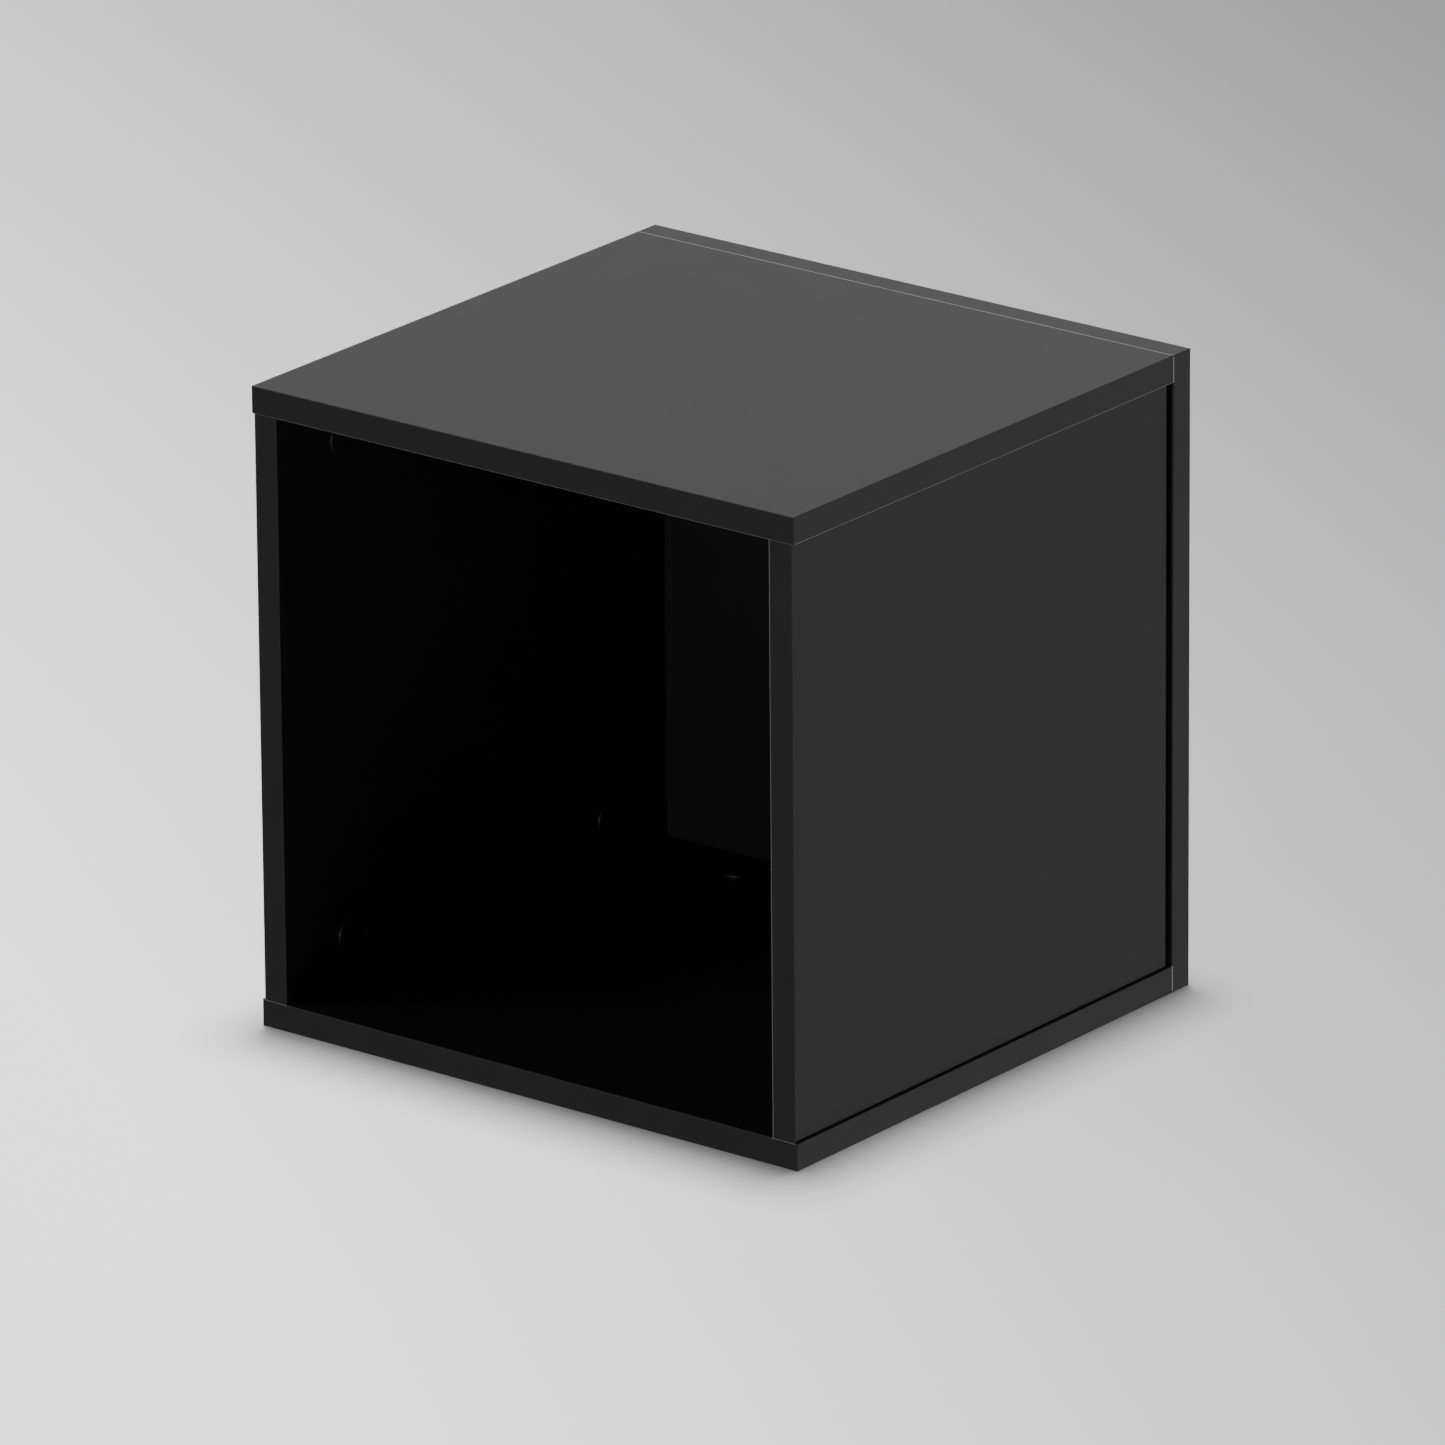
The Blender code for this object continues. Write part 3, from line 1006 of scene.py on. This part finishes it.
@dataclass
class CamFittings:
    """The cams with their caps, which turn, and the bolts, which stay in the carcass."""

    cap: CoverCap = field(default_factory=CoverCap)

    def build(self, finishes: Finishes) -> list[bpy.types.Object]:
        """Puts a cap on every cam and dresses the cams and bolts.

        Args:
            finishes: The materials.

        Returns:
            The caps.
        """
        model = self.cap.model()
        model.data.materials.append(finishes.cap)
        caps = []
        for joint in frame["joints"]:
            name = joint["name"].removeprefix("cam_turn_")
            cap = model.copy()
            cap.data = model.data.copy()
            cap.name = f"cap_{name}"
            bpy.context.scene.collection.objects.link(cap)
            cap.data.transform(seat(joint))
            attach(cap, joint["child"])
            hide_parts(f"cover_cap_{name}")
            caps.append(cap)
            dress_node(f"cam_lock_{name}", finishes.zinc)
            dress_node(f"cam_bolt_{name}", finishes.steel)
        bpy.data.objects.remove(model)
        return caps


def seat(joint: dict) -> Matrix:
    """Works out how a part modelled round Z sits on a cam's axis.

    Args:
        joint: The cam's joint.

    Returns:
        The matrix from the part's own axes to the cube's.
    """
    turn = Vector(joint["axis"]).to_track_quat("Z", "Y").to_matrix().to_4x4()
    return Matrix.Translation(Vector(joint["pos_m"])) @ turn


def dress_node(node: str, material: bpy.types.Material) -> None:
    """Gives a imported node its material.

    Args:
        node: The node's name.
        material: The material.
    """
    obj = frame["nodes"][node]
    obj.data.materials.clear()
    obj.data.materials.append(material)


def dress_dowels(finishes: Finishes) -> list[bpy.types.Object]:
    """Gives every dowel its beech.

    Args:
        finishes: The materials.

    Returns:
        The dowels.
    """
    dowels = [node for node in frame["nodes"] if node.startswith("dowel_")]
    for node in dowels:
        dress_node(node, finishes.beech)
    return [frame["nodes"][node] for node in dowels]


# Studio


class Shade(Enum):
    """The two shapes of lamp face."""

    PANEL = "RECTANGLE"
    ROUND = "DISK"


@dataclass(frozen=True)
class Lamp:
    """A soft lamp that faces the cube.

    A lamp that isn't mirrored lights the boards, but its face doesn't shine in them.
    """

    name: str
    azimuth: float
    elevation: float
    distance: float
    size: tuple[float, float]
    power: float
    shade: Shade = Shade.PANEL
    mirrored: bool = True

    def build(self, aim: Vector) -> bpy.types.Object:
        """Hangs the lamp and turns it to a point.

        Args:
            aim: The point that it faces.

        Returns:
            The lamp.
        """
        data = bpy.data.lights.new(self.name, "AREA")
        data.shape = self.shade.value
        data.size, data.size_y = self.size
        data.energy = self.power
        lamp = bpy.data.objects.new(self.name, data)
        bpy.context.scene.collection.objects.link(lamp)
        away = outward(self.azimuth, self.elevation)
        lamp.location = aim + away * self.distance
        lamp.rotation_mode = "QUATERNION"
        lamp.rotation_quaternion = away.to_track_quat("Z", "Y")
        lamp.visible_camera = False
        lamp.visible_glossy = self.mirrored
        return lamp


def outward(azimuth: float, elevation: float) -> Vector:
    """Turns an azimuth and an elevation into a unit vector.

    Args:
        azimuth: Degrees round from the open front, towards the right.
        elevation: Degrees over the floor.

    Returns:
        The way from the cube to what stands there.
    """
    a, e = math.radians(azimuth), math.radians(elevation)
    return Vector((math.sin(a) * math.cos(e), -math.cos(a) * math.cos(e), math.sin(e)))


@dataclass(frozen=True)
class Viewpoint:
    """Where the camera stands, what it looks at and how long its lens is."""

    azimuth: float = 37.979
    elevation: float = 19.652
    roll: float = -0.457
    distance: float = 8.211
    aim: tuple[float, float, float] = (0.0026, -0.0055, 0.1606)
    lens: float = 390.13
    sensor: float = 36.0

    def build(self) -> bpy.types.Object:
        """Sets up the camera.

        Returns:
            The camera.
        """
        data = bpy.data.cameras.new("camera")
        data.lens = self.lens
        data.sensor_width = self.sensor
        camera = bpy.data.objects.new("camera", data)
        bpy.context.scene.collection.objects.link(camera)
        away = outward(self.azimuth, self.elevation)
        camera.location = Vector(self.aim) + away * self.distance
        camera.rotation_mode = "QUATERNION"
        roll = Quaternion((0, 0, 1), math.radians(self.roll))
        camera.rotation_quaternion = away.to_track_quat("Z", "Y") @ roll
        bpy.context.scene.camera = camera
        return camera


class Formula:
    """Builds sums of node sockets in a node tree."""

    def __init__(self, tree: bpy.types.NodeTree) -> None:
        """Keeps the tree that the nodes go in."""
        self.tree = tree

    def apply(self, operation: str, *terms: float | bpy.types.NodeSocket) -> bpy.types.NodeSocket:
        """Adds one Math node.

        Args:
            operation: Its operation.
            terms: Numbers or sockets, in order.

        Returns:
            The node's output.
        """
        node = self.tree.nodes.new("ShaderNodeMath")
        node.operation = operation
        for socket, term in zip(node.inputs, terms):
            if isinstance(term, bpy.types.NodeSocket):
                self.tree.links.new(term, socket)
            else:
                socket.default_value = term
        return node.outputs[0]

    def axes(self, place: bpy.types.NodeSocket) -> list[bpy.types.NodeSocket]:
        """Splits a point or a direction into its three axes.

        Args:
            place: The socket that gives it.

        Returns:
            One socket for each axis.
        """
        node = self.tree.nodes.new("ShaderNodeSeparateXYZ")
        self.tree.links.new(place, node.inputs["Vector"])
        return list(node.outputs)


@dataclass(frozen=True)
class Surround:
    """What stands round the table: dark above it, and below it a sweep that pales to the rear right."""

    front_left: float = 0.239
    rear_right: float = 0.548

    def build(self) -> bpy.types.World:
        """Makes the world.

        Returns:
            The world.
        """
        world = bpy.data.worlds.new("surround")
        world.use_nodes = True
        tree = world.node_tree
        formula = Formula(tree)
        x, y, z = formula.axes(tree.nodes.new("ShaderNodeTexCoord").outputs["Generated"])
        half_diagonal = math.sqrt(2) / 4
        lean = formula.apply("MULTIPLY", formula.apply("ADD", x, y), half_diagonal)
        share = formula.apply("ADD", lean, 0.5)
        rise = formula.apply("MULTIPLY", share, self.rear_right - self.front_left)
        sweep = formula.apply("ADD", rise, self.front_left)
        below = formula.apply("LESS_THAN", z, 0.0)
        strength = formula.apply("MULTIPLY", sweep, below)
        tree.links.new(strength, tree.nodes["Background"].inputs["Strength"])
        tree.nodes["Background"].inputs["Color"].default_value = (1, 1, 1, 1)
        world.cycles.sampling_method = "NONE"
        bpy.context.scene.world = world
        return world


@dataclass(frozen=True)
class Table:
    """The plain pale surface that the cube stands on, without a horizon, whose colour greys to the rear
    right, painting the light falling off there.
    """

    half: float = 15.0
    palest: float = 0.898
    darkest: float = 0.2
    tone: float = 0.605
    # How fast the painted shade deepens along x and along y.
    fade: tuple[float, float] = (-0.680, -0.935)

    def build(self) -> bpy.types.Object:
        """Lays the table.

        Returns:
            The table.
        """
        bpy.ops.object.select_all(action="DESELECT")
        bpy.ops.mesh.primitive_plane_add(size=2 * self.half)
        table = settle(bpy.context.object, "floor")
        board = NodeBoard("studio_floor")
        board.set(Roughness=1.0, Specular_IOR_Level=0.0)
        board.feed("Base Color", self.greys(board))
        table.data.materials.append(board.material)
        table.visible_diffuse = False
        table.visible_glossy = False
        return table

    def greys(self, board: NodeBoard) -> bpy.types.NodeSocket:
        """Makes the table's grey, which falls by the same share with each step across it: painted shade where
        less light reaches.

        Args:
            board: The table's material.

        Returns:
            The grey.
        """
        formula = Formula(board.material.node_tree)
        x, y, _ = formula.axes(board.place)
        lean = formula.apply(
            "ADD",
            formula.apply("MULTIPLY", x, self.fade[0]),
            formula.apply("MULTIPLY", y, self.fade[1]),
        )
        grey = formula.apply("MULTIPLY", formula.apply("EXPONENT", lean), self.tone)
        return formula.apply("MAXIMUM", formula.apply("MINIMUM", grey, self.palest), self.darkest)


def zenith_lamp(height: float = 5.0, to_left: float = 1.3, to_rear: float = 2.6, spread: float = 5.0) -> Lamp:
    """Plans the lamp overhead, which casts the short shadow.

    Args:
        height: How far over the cube it hangs.
        to_left: How far it hangs off the plumb line, in degrees, to the left.
        to_rear: The same to the rear.
        spread: Half the angle that its face fills, in degrees.

    Returns:
        The lamp.
    """
    left, back, half_face = (height * math.tan(math.radians(angle)) for angle in (to_left, to_rear, spread))
    return Lamp(
        name="overhead",
        azimuth=math.degrees(math.atan2(-left, -back)),
        elevation=math.degrees(math.atan2(height, math.hypot(left, back))),
        distance=math.hypot(height, left, back),
        size=(2 * half_face, 2 * half_face),
        power=563,
        shade=Shade.ROUND,
        mirrored=False,
    )


@dataclass
class Studio:
    """The table, its surround, the lamps and the camera."""

    viewpoint: Viewpoint = field(default_factory=Viewpoint)
    surround: Surround = field(default_factory=Surround)
    table: Table = field(default_factory=Table)
    lamps: tuple[Lamp, ...] = (
        Lamp("rear_left", 218, 22, 3.2, (3.2, 1.6), 11.4),
        Lamp("front_left", -45, 35, 3.2, (2.0, 1.5), 20.0),
        Lamp("front_low", 10, 8, 3.2, (1.5, 0.8), 22.5),
        Lamp("rear_right", 128, 22, 3.2, (3.2, 1.6), 10.3),
        Lamp("front_right", 38, 20, 10.0, (9.0, 4.5), 81),
    )

    def build(self) -> None:
        """Sets everything up."""
        self.table.build()
        self.surround.build()
        for lamp in (zenith_lamp(), *self.lamps):
            lamp.build(Vector(self.viewpoint.aim))
        self.viewpoint.build()


def main() -> None:
    """Builds the cube and the studio, and reports each piece."""
    logging.basicConfig(level=logging.INFO, format="%(message)s")
    finishes = Finishes()
    groups = (
        ("carcass", Carcass().build(finishes)),
        ("cover caps", CamFittings().build(finishes)),
        ("dowels", dress_dowels(finishes)),
    )
    for group, pieces in groups:
        for piece in pieces:
            LOG.info("%s: %s, %d faces", group, piece.name, len(piece.data.polygons))
    Studio().build()


if __name__ == "__main__":
    main()
